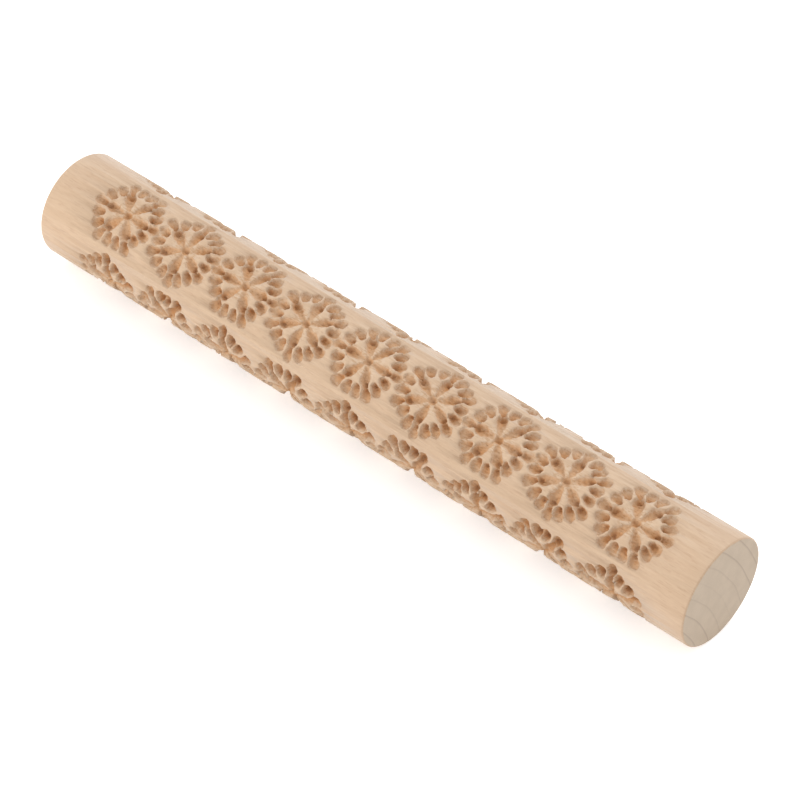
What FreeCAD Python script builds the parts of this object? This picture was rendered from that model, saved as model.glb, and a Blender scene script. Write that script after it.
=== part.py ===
import FreeCAD, Part
import math
import os
from FreeCAD import Placement, Rotation, Vector

# Textured pattern roller for clay, soft plaster or thick paint: one solid beech rod, turned round and
# carved with rows of flowers that nest into each other. It has no bore, no axle and no handles, because
# it is rolled under the flat hands. Millimetres, the roller's axis along X, +Z up, and the origin in the
# middle of the axis.

# The turned blank
LENGTH = 200.0
DIAMETER = 27.5
EDGE_ROUND = 0.5
RADIUS = DIAMETER / 2

# The layout of the flowers
ROWS = 4
FLOWERS_PER_ROW = 9
FLOWER_PITCH = 19.6
PATTERN_SHIFT = 1.3  # the flowers sit a little nearer to the +X end
FIRST_ROW_ANGLE = 24.0  # degrees from +Z towards -Y
SPOKES = 6
PETALS_PER_SPOKE = 3
HALF_TURN = 180.0 / SPOKES  # every second flower is turned by half a spoke step
CARVED_START = PATTERN_SHIFT - FLOWER_PITCH * FLOWERS_PER_ROW / 2
CARVED_END = CARVED_START + FLOWER_PITCH * FLOWERS_PER_ROW

# The flower's hollows, all measured from its middle along the roller's surface. Each is the sweep of a
# round-nosed cutter, given by the cutter's radius and how far its centre sinks below the surface or
# rises above it. A hollow is as deep as its cutter's radius and sink together.
EYE_NOSE_RADIUS = 1.0
EYE_NOSE_SINK = 0.6
EYE_MOUTH_RADIUS = 1.3
EYE_MOUTH_RISE = 1.0

KITE_START = 1.75
KITE_START_RADIUS = 0.5
KITE_START_SINK = 0.45
KITE_END = 5.1
KITE_END_RADIUS = 1.45
KITE_END_SINK = 0.25

# A petal is deepest at its heel. The cutter leaves it leaning outwards and flaring, in degrees.
PETAL_HEEL_RADIUS = 0.7
PETAL_HEEL_SINK = 0.55
PETAL_SWEEP = 4.2
LONG_PETAL = {"heel": 7.45, "lean": 55.5, "flare": 32.0}
SHORT_PETAL = {"heel": 6.55, "lean": 48.5, "flare": 25.0}


def on_surface(middle, angle, along, around, rise):
    """A point over a flower's middle, moved along and around the roller and lifted off its surface."""
    turn = angle + around / RADIUS
    reach = RADIUS + rise
    return Vector(middle + along, -reach * math.sin(turn), reach * math.cos(turn))


def scoop(start, start_radius, end, end_radius):
    """The space a round-nosed gouge sweeps: two balls and the cone that touches both, made by one turn."""
    run = end.sub(start)
    length = run.Length
    slope = (end_radius - start_radius) / length
    lean = math.sqrt(1.0 - slope * slope)
    bevel = math.asin(slope)
    start_mid = (math.pi + math.pi / 2 + bevel) / 2
    end_mid = (math.pi / 2 + bevel) / 2
    start_pole = Vector(-start_radius, 0, 0)
    start_touch = Vector(-slope * start_radius, lean * start_radius, 0)
    start_arc = Vector(start_radius * math.cos(start_mid), start_radius * math.sin(start_mid), 0)
    end_pole = Vector(length + end_radius, 0, 0)
    end_touch = Vector(length - slope * end_radius, lean * end_radius, 0)
    end_arc = Vector(length + end_radius * math.cos(end_mid), end_radius * math.sin(end_mid), 0)
    outline = [
        Part.Arc(start_pole, start_arc, start_touch).toShape(),
        Part.LineSegment(start_touch, end_touch).toShape(),
        Part.Arc(end_touch, end_arc, end_pole).toShape(),
        Part.LineSegment(end_pole, start_pole).toShape(),
    ]
    solid = Part.Face(Part.Wire(outline)).revolve(Vector(0, 0, 0), Vector(1, 0, 0), 360)
    solid.Placement = Placement(start, Rotation(Vector(1, 0, 0), run))
    return solid


def flower_cuts(middle, angle, turn):
    """Every hollow of one flower: the eye, the kites round it, and the ring of petals."""

    def at(distance, heading, rise):
        along = distance * math.cos(heading)
        around = distance * math.sin(heading)
        return on_surface(middle, angle, along, around, rise)

    eye_nose = at(0.0, 0.0, -EYE_NOSE_SINK)
    eye_mouth = at(0.0, 0.0, EYE_MOUTH_RISE)
    cuts = [scoop(eye_nose, EYE_NOSE_RADIUS, eye_mouth, EYE_MOUTH_RADIUS)]
    for spoke in range(SPOKES):
        heading = math.radians(turn + 360.0 / SPOKES * spoke)
        kite_start = at(KITE_START, heading, -KITE_START_SINK)
        kite_end = at(KITE_END, heading, -KITE_END_SINK)
        cuts.append(scoop(kite_start, KITE_START_RADIUS, kite_end, KITE_END_RADIUS))

    petals = SPOKES * PETALS_PER_SPOKE
    for petal in range(petals):
        heading = math.radians(turn + 360.0 / petals * petal)
        size = LONG_PETAL if petal % PETALS_PER_SPOKE == 0 else SHORT_PETAL
        lean = math.radians(size["lean"])
        heel = at(size["heel"], heading, -PETAL_HEEL_SINK)
        ahead = PETAL_SWEEP * math.cos(lean)
        rise = PETAL_SWEEP * math.sin(lean) - PETAL_HEEL_SINK
        end = at(size["heel"] + ahead, heading, rise)
        length = end.sub(heel).Length
        end_radius = PETAL_HEEL_RADIUS + length * math.sin(math.radians(size["flare"]))
        cuts.append(scoop(heel, PETAL_HEEL_RADIUS, end, end_radius))
    return cuts


def rod_length(start, end, first_angle=0.0, sweep=360.0):
    """A length of the rod, either whole or a wedge that starts at an angle from +Z towards -Y."""
    piece = Part.makeCylinder(RADIUS, end - start, Vector(start, 0, 0), Vector(1, 0, 0), sweep)
    piece.rotate(Vector(0, 0, 0), Vector(1, 0, 0), first_angle)
    return piece


def make_blank():
    """The turned rod with its end edges just broken, and its side in one patch for each flower.

    The patches meet in the plain strips between rows and halfway between neighbours in a row.
    """
    patches = []
    half_row = 180.0 / ROWS
    for row in range(ROWS):
        first_angle = FIRST_ROW_ANGLE - half_row + 2 * half_row * row
        for place in range(FLOWERS_PER_ROW):
            start = CARVED_START + FLOWER_PITCH * place
            patches.append(rod_length(start, start + FLOWER_PITCH, first_angle, 2 * half_row))

    ends = []
    for inner, outer in ((CARVED_START, -LENGTH / 2), (CARVED_END, LENGTH / 2)):
        end = rod_length(min(inner, outer), max(inner, outer))
        rims = []
        for edge in end.Edges:
            if isinstance(edge.Curve, Part.Circle) and abs(edge.Curve.Center.x - outer) < 0.01:
                rims.append(edge)
        ends.append(end.makeFillet(EDGE_ROUND, rims))
    return ends[0].fuse(patches + ends[1:])


def make_roller():
    first_middle = CARVED_START + FLOWER_PITCH / 2
    cuts = []
    for row in range(ROWS):
        angle = math.radians(FIRST_ROW_ANGLE + 360.0 / ROWS * row)
        for place in range(FLOWERS_PER_ROW):
            middle = first_middle + FLOWER_PITCH * place
            turn = HALF_TURN * ((row + place) % 2)
            cuts.extend(flower_cuts(middle, angle, turn))
    return make_blank().cut(cuts)


os.makedirs("parts", exist_ok=True)
carved = make_roller()
print("solids", len(carved.Solids), "faces", len(carved.Faces), "valid", carved.isValid())
print("volume", round(carved.Volume, 1), "box", carved.BoundBox)
carved.Solids[0].exportStep("parts/roller.step")
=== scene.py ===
import math

import bmesh
import bpy
import numpy as np
from mathutils import Matrix, Vector


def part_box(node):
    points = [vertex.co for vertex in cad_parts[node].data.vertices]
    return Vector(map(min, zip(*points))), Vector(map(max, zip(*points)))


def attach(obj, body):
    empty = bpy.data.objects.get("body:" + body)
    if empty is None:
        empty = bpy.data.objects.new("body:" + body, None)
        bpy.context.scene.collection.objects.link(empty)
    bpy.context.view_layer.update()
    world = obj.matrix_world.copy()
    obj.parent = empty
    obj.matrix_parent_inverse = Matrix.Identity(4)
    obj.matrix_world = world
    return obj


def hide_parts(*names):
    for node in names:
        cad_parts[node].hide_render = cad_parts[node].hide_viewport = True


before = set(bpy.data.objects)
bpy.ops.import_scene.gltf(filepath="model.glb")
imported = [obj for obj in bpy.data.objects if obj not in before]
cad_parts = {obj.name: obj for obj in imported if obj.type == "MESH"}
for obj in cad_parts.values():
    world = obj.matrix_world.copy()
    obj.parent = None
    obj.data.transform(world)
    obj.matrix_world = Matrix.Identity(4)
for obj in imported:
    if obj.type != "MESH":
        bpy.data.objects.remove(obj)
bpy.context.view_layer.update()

# A textured pattern roller: one solid beech rod, turned round and carved with four rows of nested
# flowers. Metres, the roller's axis along X. The carving is worked out in millimetres on the unrolled
# side of the rod, then pressed into its surface.

SEED = 11
MM = 0.001

low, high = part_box("roller")
LENGTH = round((high[0] - low[0]) / MM, 2)
RADIUS = round((high[2] - low[2]) / MM, 1) / 2
EDGE_ROUND = 0.5

# Layout of the flowers, the same as the rod's own
ROWS = 4
FLOWERS_PER_ROW = 9
FLOWER_PITCH = 19.6
PATTERN_SHIFT = 1.3
FIRST_ROW_ANGLE = 24.0
SPOKES = 6
PETALS = 18
FLOWER_REACH = 11.5

# The flower's hollows, measured from its middle
DISH_RADIUS = 5.2  # a shallow dish under the eye and the kites
DISH_DEPTH = 0.7
EYE_RADIUS = 1.35
EYE_DEPTH = 1.8
KITE_STATIONS = (1.2, 1.6, 2.1, 3.0, 4.3, 5.2, 6.2, 6.9)
KITE_HALF_WIDTHS = (0.45, 0.65, 0.88, 1.12, 1.42, 1.5, 1.15, 0.6)
KITE_INNER_END = (0.7, 1.1)  # the floor rises from nothing to its full depth between these
KITE_OUTER_END = (6.45, 6.9)  # and back to nothing between these
KITE_FLOOR_STATIONS = (1.2, 2.1, 4.6, 6.4)
KITE_FLOOR_DEPTHS = (1.05, 1.15, 1.5, 1.75)
SPOT_AT = 6.0
SPOT_RADIUS = 0.95
SPOT_DEPTH = 2.2
SADDLE_DEPTH = 1.05  # the low wall between a spot and its long petal
SADDLE_HALF_WIDTH = 0.8
SADDLE_REACH = (5.5, 7.6)
LONG_PETAL = {"heel": 6.75, "length": 3.8, "half_width": 1.5, "depth": 2.15}
SHORT_PETAL = {"heel": 5.85, "length": 3.8, "half_width": 1.5, "depth": 2.15}
ROW_DEPTHS = (1.0, 1.3, 1.0, 1.1)  # how deep each row is cut, as a part of the usual depth

# A gouge cut, in parts of its width, length or depth
HEEL_WIDTH = 0.42
WIDEST_AT = 0.64
HEEL_ROUNDING = 0.12
PLUNGE = 0.14
TIP_DEPTH = 0.4

# How much one cut differs from the next: degrees, parts of the width, or millimetres
SPOKE_TURN_SPREAD = 1.6
KITE_WIDTH_SPREAD = 0.07
PETAL_TURN_SPREAD = 0.8
PETAL_HEEL_SPREAD = 0.1
PETAL_LENGTH_SPREAD = 0.12
PETAL_WIDTH_SPREAD = 0.04
PETAL_DEPTH_SPREAD = 0.1

# Unevenness: the size of its bumps along the surface, and its height or its part of the depth
OUTLINE_BUMP = 1.6
OUTLINE_WANDER = 0.07
FLOOR_BUMP = 0.9
FLOOR_ROUGHNESS = 0.05
TORN_BUMP = 0.62
TORN_STRETCH = 0.6
TORN_HEIGHT = 0.05
TORN_DEPTHS = (0.25, 0.9)

# Mesh steps on the rod's surface, before the mesh is thinned
RIM_STEPS = 6
CARVED_STEP = 0.2
PLAIN_STEP = 1.2
STEPS_AROUND = 432
FINISHED_TRIANGLES = 196000
UNCARVED_END = 2.0  # nothing is cut nearer to an end face than this


# ---------------------------------------------------------------- the carving


def smooth_step(value, start, end):
    part = np.clip((value - start) / (end - start), 0.0, 1.0)
    return part * part * (3.0 - 2.0 * part)


def ripple(along, around, size, rng, waves=18):
    """A smooth irregular wave over the surface, from about -1 to 1, with bumps of a given size."""
    total = np.zeros_like(along)
    for _ in range(waves):
        heading = rng.uniform(0.0, math.pi)
        pace = 2.0 * math.pi / (size * rng.uniform(0.7, 1.6))
        phase = rng.uniform(0.0, 2.0 * math.pi)
        total += np.sin(pace * (along * math.cos(heading) + around * math.sin(heading)) + phase)
    return total * (2.0 / waves) ** 0.5


def trough(across, squareness, wall=0.55):
    """The section of a cut, 1 on its middle line and 0 at its edges, which are at -1 and 1."""
    return np.clip(1.0 - np.abs(across) ** squareness, 0.0, 1.0) ** wall


def gouge(along, across, length, half_width, depth):
    """Depth of one gouge cut. It plunges at its narrow heel and climbs out to a round tip."""
    travel = along / length
    inside = (travel > 0.0) & (travel < 1.0)
    travel = np.clip(travel, 0.0, 1.0)
    widening = HEEL_WIDTH + (1.0 - HEEL_WIDTH) * np.minimum(travel / WIDEST_AT, 1.0)
    rounding = np.sqrt(1.0 - (np.clip(travel - WIDEST_AT, 0.0, 1.0) / (1.0 - WIDEST_AT)) ** 2)
    start = np.sqrt(np.minimum(travel / HEEL_ROUNDING, 1.0))
    no_width = 1e-6
    half = half_width * widening * rounding * start + no_width
    section = trough(across / half, 2.2)
    plunge = np.minimum(travel / PLUNGE, 1.0) ** 0.7
    floor = plunge * (TIP_DEPTH + (1.0 - TIP_DEPTH) * (1.0 - travel) ** 1.1)
    return np.where(inside, depth * floor * section, 0.0)


def pit(distance, radius, depth, wall=0.5):
    """Depth of a round hollow at a distance from its middle."""
    return depth * np.clip(1.0 - (distance / radius) ** 2, 0.0, 1.0) ** wall


def kite(out, side):
    """Depth of one kite: a channel from the eye that widens outwards and slopes down to its spot."""
    half = np.interp(out, KITE_STATIONS, KITE_HALF_WIDTHS)
    floor = np.interp(out, KITE_FLOOR_STATIONS, KITE_FLOOR_DEPTHS)
    inner = smooth_step(out, KITE_INNER_END[0], KITE_INNER_END[1])
    outer = smooth_step(-out, -KITE_OUTER_END[1], -KITE_OUTER_END[0])
    return floor * trough(side / half, 2.4) * (inner * outer)


def seen_along(along, around, degrees):
    """The same points measured out along a heading from the flower's middle, and to its side."""
    heading = math.radians(degrees)
    out = along * math.cos(heading) + around * math.sin(heading)
    side = -along * math.sin(heading) + around * math.cos(heading)
    return out, side


def flower_depth(along, around, turn, rng):
    """How deep one flower is cut at points given from its middle, in millimetres."""
    from_middle = np.hypot(along, around)
    dish = pit(from_middle, DISH_RADIUS, DISH_DEPTH, wall=1.0)
    depth = np.maximum(dish, pit(from_middle, EYE_RADIUS, EYE_DEPTH))
    for spoke in range(SPOKES):
        heading = turn + 360.0 / SPOKES * spoke + rng.normal(0.0, SPOKE_TURN_SPREAD)
        out, side = seen_along(along, around, heading)
        spot = pit(np.hypot(out - SPOT_AT, side), SPOT_RADIUS, SPOT_DEPTH)
        on_saddle = (out > SADDLE_REACH[0]) & (out < SADDLE_REACH[1])
        saddle = SADDLE_DEPTH * trough(side / SADDLE_HALF_WIDTH, 2, wall=0.6) * on_saddle
        width = 1.0 + rng.normal(0.0, KITE_WIDTH_SPREAD)
        for cut in (kite(out, side / width), spot, saddle):
            depth = np.maximum(depth, cut)
    for petal in range(PETALS):
        size = LONG_PETAL if petal % (PETALS // SPOKES) == 0 else SHORT_PETAL
        heading = turn + 360.0 / PETALS * petal + rng.normal(0.0, PETAL_TURN_SPREAD)
        out, side = seen_along(along, around, heading)
        heel = size["heel"] + rng.normal(0.0, PETAL_HEEL_SPREAD)
        length = size["length"] + rng.normal(0.0, PETAL_LENGTH_SPREAD)
        half = size["half_width"] * (1.0 + rng.normal(0.0, PETAL_WIDTH_SPREAD))
        deepest = size["depth"] + rng.normal(0.0, PETAL_DEPTH_SPREAD)
        depth = np.maximum(depth, gouge(out - heel, side, length, half, deepest))
    return depth


def carving_depth(along, angle):
    """How deep the whole carving is at points on the rod: along X in millimetres, angle in radians."""
    rng = np.random.default_rng(SEED)
    depth = np.zeros(len(along))
    around = angle * RADIUS
    along, around = (
        along + OUTLINE_WANDER * ripple(along, around, OUTLINE_BUMP, rng),
        around + OUTLINE_WANDER * ripple(along, around, OUTLINE_BUMP, rng),
    )
    whole_turn = 2.0 * math.pi * RADIUS
    first_middle = PATTERN_SHIFT - FLOWER_PITCH * (FLOWERS_PER_ROW - 1) / 2.0
    for row in range(ROWS):
        row_at = math.radians(FIRST_ROW_ANGLE + 360.0 / ROWS * row) * RADIUS
        for place in range(FLOWERS_PER_ROW):
            turn = 180.0 / SPOKES * ((row + place) % 2)
            across = (around - row_at + whole_turn / 2.0) % whole_turn - whole_turn / 2.0
            from_middle = along - (first_middle + FLOWER_PITCH * place)
            near = (np.abs(from_middle) < FLOWER_REACH) & (np.abs(across) < FLOWER_REACH)
            cut = flower_depth(from_middle[near], across[near], turn, rng)
            depth[near] = np.maximum(depth[near], ROW_DEPTHS[row] * cut)
    rough = 1.0 + FLOOR_ROUGHNESS * ripple(along, around, FLOOR_BUMP, rng)
    deep_enough = smooth_step(depth, TORN_DEPTHS[0], TORN_DEPTHS[1])
    torn = TORN_HEIGHT * deep_enough * ripple(along * TORN_STRETCH, around, TORN_BUMP, rng)
    return depth * rough + torn


# ---------------------------------------------------------------- the roller's mesh


def rod_outline():
    """The rod's outline from one end face's rim to the other's, as (along, radius) in millimetres."""
    carved = FLOWER_PITCH * (FLOWERS_PER_ROW - 1) / 2.0 + FLOWER_REACH
    end = LENGTH / 2.0 - EDGE_ROUND
    stations = np.concatenate(
        [
            np.arange(-end, PATTERN_SHIFT - carved, PLAIN_STEP),
            np.arange(PATTERN_SHIFT - carved, PATTERN_SHIFT + carved, CARVED_STEP),
            np.arange(PATTERN_SHIFT + carved, end, PLAIN_STEP),
            [end],
        ]
    )
    rim = []
    for step in range(RIM_STEPS + 1):
        turn = math.radians(90.0 * step / RIM_STEPS)
        along = end + EDGE_ROUND * math.cos(turn)
        rim.append((along, RADIUS - EDGE_ROUND + EDGE_ROUND * math.sin(turn)))
    points = [(-along, radius) for along, radius in rim[:-1]]
    points += [(along, RADIUS) for along in stations]
    points += list(reversed(rim[:-1]))
    return points


def spin_rod(name):
    """Turns the outline once round the axis and closes both end faces."""
    shape = bmesh.new()
    points = [shape.verts.new((along * MM, 0.0, radius * MM)) for along, radius in rod_outline()]
    for first, second in zip(points, points[1:]):
        shape.edges.new((first, second))
    bmesh.ops.spin(
        shape,
        geom=shape.verts[:] + shape.edges[:],
        cent=(0.0, 0.0, 0.0),
        axis=(1.0, 0.0, 0.0),
        angle=2.0 * math.pi,
        steps=STEPS_AROUND,
        use_merge=True,
    )
    rims = [edge for edge in shape.edges if edge.is_boundary]
    bmesh.ops.holes_fill(shape, edges=rims, sides=0)
    bmesh.ops.recalc_face_normals(shape, faces=shape.faces[:])
    mesh = bpy.data.meshes.new(name)
    shape.to_mesh(mesh)
    shape.free()
    return mesh


def carve(mesh):
    """Presses the flowers into the rod's side."""
    places = np.empty(len(mesh.vertices) * 3)
    mesh.vertices.foreach_get("co", places)
    places = places.reshape(-1, 3)
    angle = np.arctan2(-places[:, 1], places[:, 2])
    reach = np.hypot(places[:, 1], places[:, 2])
    depth = carving_depth(places[:, 0] / MM, angle)
    on_side = np.abs(places[:, 0]) < (LENGTH / 2.0 - UNCARVED_END) * MM
    cut = np.where(on_side, depth * MM, 0.0)
    scale = (reach - cut) / reach
    places[:, 1] *= scale
    places[:, 2] *= scale
    mesh.vertices.foreach_set("co", places.ravel())
    mesh.update()


def thin_out(mesh, triangles):
    """Merges faces where the surface is plain, so that the ridges keep theirs."""
    holder = bpy.data.objects.new("thinning", mesh)
    bpy.context.scene.collection.objects.link(holder)
    now = sum(len(face.vertices) - 2 for face in mesh.polygons)
    thin = holder.modifiers.new("thin", "DECIMATE")
    thin.ratio = min(1.0, triangles / now)
    thin.use_collapse_triangulate = True
    graph = bpy.context.evaluated_depsgraph_get()
    result = bpy.data.meshes.new_from_object(holder.evaluated_get(graph))
    bpy.data.objects.remove(holder)
    return result


def make_roller(material):
    mesh = spin_rod("carved_rod")
    carve(mesh)
    mesh = thin_out(mesh, FINISHED_TRIANGLES)
    mesh.name = "carved_roller"
    flat_end = 0.999
    for face in mesh.polygons:
        face.use_smooth = abs(face.normal.x) < flat_end
    roller = bpy.data.objects.new("carved_roller", mesh)
    bpy.context.scene.collection.objects.link(roller)
    mesh.materials.append(material)
    return roller


# ---------------------------------------------------------------- shader helpers


class Value:
    """A number from a shader socket. An expression on values adds the Math nodes it needs."""

    def __init__(self, tree, socket):
        self.tree = tree
        self.socket = socket

    def math(self, operation, *others, swap=False):
        node = self.tree.nodes.new("ShaderNodeMath")
        node.operation = operation
        inputs = [self, *others]
        if swap:
            inputs.reverse()
        for socket, value in zip(node.inputs, inputs):
            if isinstance(value, Value):
                self.tree.links.new(value.socket, socket)
            else:
                socket.default_value = value
        return Value(self.tree, node.outputs[0])

    def __add__(self, other):
        return self.math("ADD", other)

    __radd__ = __add__

    def __sub__(self, other):
        return self.math("SUBTRACT", other)

    def __rsub__(self, other):
        return self.math("SUBTRACT", other, swap=True)

    def __mul__(self, other):
        return self.math("MULTIPLY", other)

    __rmul__ = __mul__

    def __truediv__(self, other):
        return self.math("DIVIDE", other)

    def __pow__(self, other):
        return self.math("POWER", other)

    def clamp(self):
        return self.math("MAXIMUM", 0.0).math("MINIMUM", 1.0)

    def ramp(self, start, end):
        """0 at start and 1 at end, with soft shoulders. The ends may be given either way round."""
        part = ((self - start) / (end - start)).clamp()
        return part * part * (3.0 - 2.0 * part)


class Shader:
    """A material's node tree, with one method that adds any node."""

    def __init__(self, name):
        self.material = bpy.data.materials.new(name)
        self.material.use_nodes = True
        self.tree = self.material.node_tree
        self.tree.nodes.clear()

    def add(self, kind, settings=None, output=0, **inputs):
        """Adds a node, sets it up, links or sets its sockets by name, and returns one of its outputs."""
        node = self.tree.nodes.new(kind)
        for name, value in (settings or {}).items():
            setattr(node, name, value)
        for name, value in inputs.items():
            socket = self.socket(node, name)
            if isinstance(value, Value):
                self.tree.links.new(value.socket, socket)
            else:
                socket.default_value = value
        return Value(self.tree, node.outputs[output])

    @staticmethod
    def socket(node, name):
        """A socket by its name with spaces as underscores, or by its place as in _6."""
        if name[0] == "_" and name[1:].isdigit():
            return node.inputs[int(name[1:])]
        for socket in node.inputs:
            if socket.enabled and socket.name.replace(" ", "_") == name:
                return socket
        raise KeyError(name)

    def covered_with(self, surface):
        """Gives the material its surface and returns it."""
        output = self.tree.nodes.new("ShaderNodeOutputMaterial")
        self.tree.links.new(surface.socket, output.inputs["Surface"])
        return self.material

    def axes(self, vector):
        """A vector's X, Y and Z."""
        node = self.tree.nodes.new("ShaderNodeSeparateXYZ")
        self.tree.links.new(vector.socket, node.inputs[0])
        return [Value(self.tree, socket) for socket in node.outputs]

    def mix(self, amount, first, second):
        """Two colours mixed by an amount."""
        settings = {"data_type": "RGBA", "blend_type": "MIX", "clamp_result": False}
        return self.add("ShaderNodeMix", settings, output=2, _0=amount, _6=first, _7=second)

    def stretched(self, place, scale):
        """The place with each axis multiplied, in turns per metre."""
        return self.add("ShaderNodeMapping", None, Vector=place, Scale=scale)

    def noise(self, place, scale, detail=2.0, roughness=0.5):
        settings = {"noise_dimensions": "3D"}
        spread = self.stretched(place, scale)
        return self.add(
            "ShaderNodeTexNoise", settings, Vector=spread, Scale=1.0, Detail=detail, Roughness=roughness
        )


def linear(red, green, blue):
    """A colour given as it looks on a screen, from 0 to 255, as the shader's linear colour."""
    parts = []
    for part in (red, green, blue):
        part /= 255.0
        parts.append(part / 12.92 if part <= 0.04045 else ((part + 0.055) / 1.055) ** 2.4)
    return (*parts, 1.0)


# ---------------------------------------------------------------- the beech

PITH = (-47.0, -28.5)  # the tree's middle from the roller's axis, Y and Z in millimetres
RING_SPACING = 3.9
WEAKEST_YEAR = 13.0
YEARS_BETWEEN_WEAK = 5.0

# Colours of the wood, as they look on a screen
PALE_WOOD = (221, 192, 162)
DEEP_WOOD = (208, 176, 145)
LATE_WOOD = (186, 148, 114)
FLECK = (180, 140, 108)
SCRATCH = (180, 142, 110)
# warmer cut wood, partly painted shade and warm bounce light in the hollows
CUT_WOOD_AND_SHADE = (212, 156, 103)
TORN_WOOD = (166, 116, 76)
# pale fibres, partly a painted highlight on the shallow cuts
PALE_FIBRE_AND_HIGHLIGHT = (232, 214, 196)
FIBRE_SHADE = (182, 140, 106)
# painted shade at the bottoms of the deepest cuts
PAINTED_DEEP_SHADE = (150, 102, 66)
ROUNDED_EDGE = (180, 140, 104)
END_PALE = (201, 179, 153)
END_DEEP = (194, 172, 146)
END_PORE = (174, 150, 124)
END_RING = (152, 124, 100)


def beech():
    shader = Shader("beech")
    place = shader.add("ShaderNodeTexCoord", None, output=3)
    facing = shader.add("ShaderNodeTexCoord", None, output=1)
    across, up = shader.axes(place)[1:]
    endward = shader.axes(facing)[0].math("ABSOLUTE")
    end_grain = endward.ramp(0.9, 0.99)
    rounded_edge = endward.ramp(0.3, 0.6) * (1.0 - end_grain)
    plain_side = 1.0 - end_grain

    # Depth below the turned surface
    reach = (across * across + up * up) ** 0.5
    depth = RADIUS - reach / MM
    hollow = depth.ramp(0.3, 1.9) * plain_side

    # Growth rings: one thin dark line at the end of each year's wood, some years stronger than others
    sway = shader.noise(place, (8.0, 60.0, 60.0), 2.0) - 0.5
    from_pith = ((across / MM - PITH[0]) ** 2.0 + (up / MM - PITH[1]) ** 2.0) ** 0.5
    year = (from_pith + sway * 1.8) / RING_SPACING
    in_year = year.math("FRACT")
    cycle = (year.math("FLOOR") - WEAKEST_YEAR) * (2.0 * math.pi / YEARS_BETWEEN_WEAK)
    strength = 0.6 - 0.4 * cycle.math("COSINE")
    late_wood = in_year.ramp(0.45, 0.97) * (1.0 - in_year.ramp(0.97, 1.0)) * strength

    # Grain: fine short streaks along the rod, thin dark flecks, and a slow drift of tone
    streaks = shader.noise(place, (230.0, 1900.0, 1900.0), 3.0, 0.6)
    drift = shader.noise(place, (22.0, 90.0, 90.0), 2.0)
    flecks = shader.noise(place, (330.0, 3000.0, 3000.0), 1.0, 0.4).ramp(0.6, 0.72) * plain_side
    scratches = shader.noise(place, (90.0, 2300.0, 2300.0), 1.0, 0.4).ramp(0.66, 0.78) * plain_side
    pores = shader.noise(place, (7000.0, 7000.0, 7000.0), 1.0, 0.5)

    toned = streaks.ramp(0.25, 0.75) * 0.6 + drift.ramp(0.3, 0.7) * 0.3
    wood = shader.mix(toned, linear(*PALE_WOOD), linear(*DEEP_WOOD))
    wood = shader.mix(late_wood * 0.16, wood, linear(*LATE_WOOD))
    wood = shader.mix(flecks * 0.25, wood, linear(*FLECK))
    wood = shader.mix(scratches * 0.2, wood, linear(*SCRATCH))

    # The hollows get warmer and darker the deeper they go, partly the cut wood's own tone and partly
    # painted shade and warm bounce light, and their floors have torn, speckled grain
    patches = shader.noise(place, (450.0, 450.0, 450.0), 2.0)
    torn = shader.noise(place, (1500.0, 2600.0, 2600.0), 2.0, 0.6).ramp(0.52, 0.7)
    # painted shade and warm bounce light that deepen with depth, mixed with the cut wood's warmer tone
    wood = shader.mix(hollow * (0.4 + 0.5 * patches.ramp(0.3, 0.7)), wood, linear(*CUT_WOOD_AND_SHADE))
    wood = shader.mix(hollow * torn * 0.6, wood, linear(*TORN_WOOD))

    # Shallow cuts show dark fibres and pale fibres that are partly a painted highlight, and the deepest
    # cuts are darker with painted shade
    fibres = shader.noise(place, (700.0, 2200.0, 2200.0), 2.0, 0.6)
    skin = depth.ramp(0.12, 0.4) * depth.ramp(1.1, 0.7) * plain_side
    # pale fibres on shallow cuts, partly a painted highlight
    wood = shader.mix(skin * fibres.ramp(0.45, 0.6) * 0.3, wood, linear(*PALE_FIBRE_AND_HIGHLIGHT))
    wood = shader.mix(skin * fibres.ramp(0.5, 0.35) * 0.35, wood, linear(*FIBRE_SHADE))
    # painted shade that darkens the deepest cuts
    wood = shader.mix(depth.ramp(1.1, 2.1) * plain_side * 0.4, wood, linear(*PAINTED_DEEP_SHADE))
    wood = shader.mix(rounded_edge * 0.2, wood, linear(*ROUNDED_EDGE))

    # End grain: greyer, with clear thin ring lines and a fine speckle of pores
    end_rings = in_year.ramp(0.84, 0.97) * (1.0 - in_year.ramp(0.97, 1.0)) * strength
    clouds = shader.noise(place, (300.0, 300.0, 300.0), 3.0)
    end_wood = shader.mix(clouds.ramp(0.3, 0.7), linear(*END_PALE), linear(*END_DEEP))
    end_wood = shader.mix(pores.ramp(0.45, 0.75) * 0.3, end_wood, linear(*END_PORE))
    end_wood = shader.mix(end_rings * 0.55, end_wood, linear(*END_RING))
    colour = shader.mix(end_grain, wood, end_wood)

    height = streaks * 0.5 + pores * 0.4 - flecks * 0.5 - scratches * 0.5 - hollow * torn * 1.5
    grain_bump = shader.add("ShaderNodeBump", None, Height=height, Strength=0.3, Distance=0.00012)
    sanded = shader.add(
        "ShaderNodeBsdfPrincipled",
        None,
        Base_Color=colour,
        Roughness=0.58 + 0.1 * streaks,
        Normal=grain_bump,
        Sheen_Weight=0.35,
        Sheen_Roughness=0.5,
    )
    cut = shader.add(
        "ShaderNodeBsdfPrincipled",
        None,
        Base_Color=colour,
        Roughness=0.75,
        Normal=grain_bump,
        Specular_IOR_Level=0.15,
    )
    carved = depth.ramp(0.1, 0.6) * plain_side
    surface = shader.add("ShaderNodeMixShader", None, _0=carved, _1=sanded, _2=cut)
    return shader.covered_with(surface)


# ---------------------------------------------------------------- floor, light and camera


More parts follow.
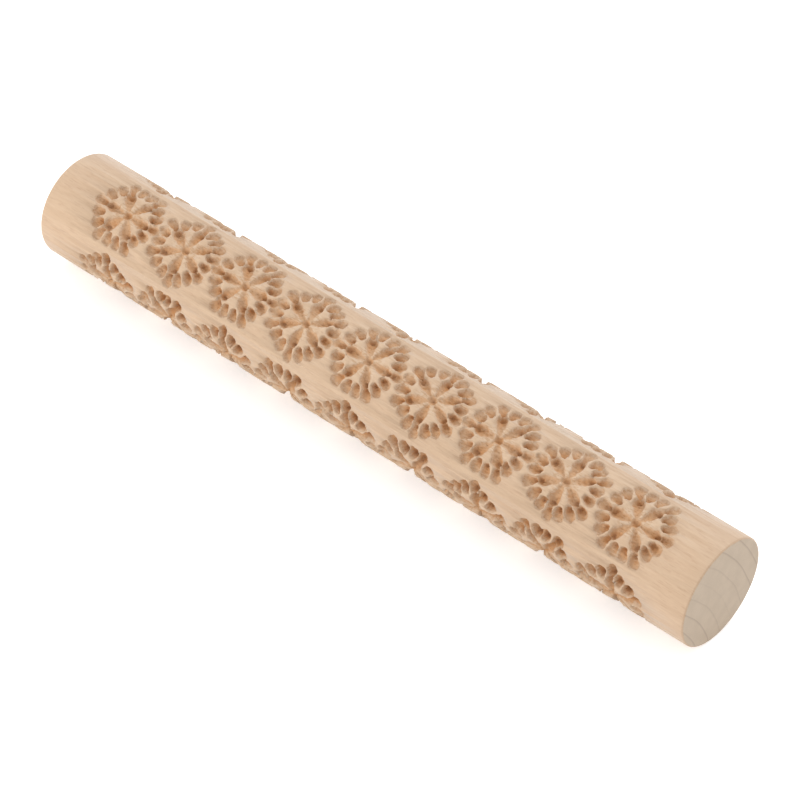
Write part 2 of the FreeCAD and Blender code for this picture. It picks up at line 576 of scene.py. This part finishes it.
def white_floor(level):
    """A plain white floor that keeps the roller's shadow."""
    shader = Shader("white_floor")
    rays = [shader.add("ShaderNodeLightPath", None, output=place) for place in (0, 3, 6)]
    seen = (rays[0] + rays[1] + rays[2]).clamp()
    cloth = shader.add("ShaderNodeBsdfDiffuse", None, Color=linear(246, 246, 246))
    lift = shader.add("ShaderNodeEmission", None, Color=(1.0, 1.0, 1.0, 1.0), Strength=0.5)
    bright = shader.add("ShaderNodeAddShader", None, _0=cloth, _1=lift)
    surface = shader.add("ShaderNodeMixShader", None, _0=seen, _1=cloth, _2=bright)

    shape = bmesh.new()
    bmesh.ops.create_grid(shape, x_segments=1, y_segments=1, size=6.0)
    bmesh.ops.translate(shape, verts=shape.verts[:], vec=(0.0, 0.0, level))
    mesh = bpy.data.meshes.new("floor")
    shape.to_mesh(mesh)
    shape.free()
    mesh.materials.append(shader.covered_with(surface))
    floor = bpy.data.objects.new("floor", mesh)
    bpy.context.scene.collection.objects.link(floor)
    return floor


def white_surround(strength):
    """An even white light from all round, which shows as plain white behind the floor."""
    world = bpy.data.worlds.new("surround")
    world.use_nodes = True
    bpy.context.scene.world = world
    tree = world.node_tree
    tree.nodes.clear()
    path = tree.nodes.new("ShaderNodeLightPath")
    mix = tree.nodes.new("ShaderNodeMix")
    mix.data_type = "FLOAT"
    mix.inputs[2].default_value = strength
    mix.inputs[3].default_value = 1.0
    background = tree.nodes.new("ShaderNodeBackground")
    background.inputs["Color"].default_value = (1.0, 1.0, 1.0, 1.0)
    output = tree.nodes.new("ShaderNodeOutputWorld")
    tree.links.new(path.outputs["Is Camera Ray"], mix.inputs[0])
    tree.links.new(mix.outputs[0], background.inputs["Strength"])
    tree.links.new(background.outputs[0], output.inputs["Surface"])


def soft_lamp(name, place, size, watts, colour=(1.0, 1.0, 1.0)):
    """A round soft lamp that faces the roller's middle."""
    lamp = bpy.data.lights.new(name, "AREA")
    lamp.shape = "DISK"
    lamp.size = size
    lamp.energy = watts
    lamp.color = colour
    holder = bpy.data.objects.new(name, lamp)
    bpy.context.scene.collection.objects.link(holder)
    toward = Vector() - Vector(place)
    turn = toward.to_track_quat("-Z", "Y").to_matrix().to_4x4()
    holder.matrix_world = Matrix.Translation(Vector(place)) @ turn


AZIMUTH = 41.66
ELEVATION = 43.2
CAMERA_DISTANCE = 0.7343
LENS = 141.6
AIM_RIGHT = 0.0047  # the middle of the view, from the roller's middle
AIM_UP = -0.00346


def place_camera():
    turn = math.radians(AZIMUTH)
    lift = math.radians(ELEVATION)
    back = Vector((math.sin(turn) * math.cos(lift), -math.cos(turn) * math.cos(lift), math.sin(lift)))
    right = Vector((math.cos(turn), math.sin(turn), 0.0))
    up = back.cross(right)
    lens = bpy.data.cameras.new("camera")
    lens.lens = LENS
    lens.sensor_width = 36.0
    lens.clip_start = 0.05
    lens.clip_end = 50.0
    camera = bpy.data.objects.new("camera", lens)
    bpy.context.scene.collection.objects.link(camera)
    turned = Matrix((right, up, back)).transposed().to_4x4()
    place = right * AIM_RIGHT + up * AIM_UP + back * CAMERA_DISTANCE
    camera.matrix_world = Matrix.Translation(place) @ turned
    bpy.context.scene.camera = camera


# ---------------------------------------------------------------- the scene

roller = make_roller(beech())
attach(roller, "root")
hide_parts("roller")

white_floor(low[2])
white_surround(0.83)
soft_lamp("back_lamp", (-0.1, 0.6, 0.7), 0.5, 2.3)
soft_lamp("low_lamp", (-0.45, -0.75, 0.0), 0.4, 3.9, (1.0, 0.89, 0.74))
place_camera()
bpy.context.scene.view_settings.view_transform = "Standard"
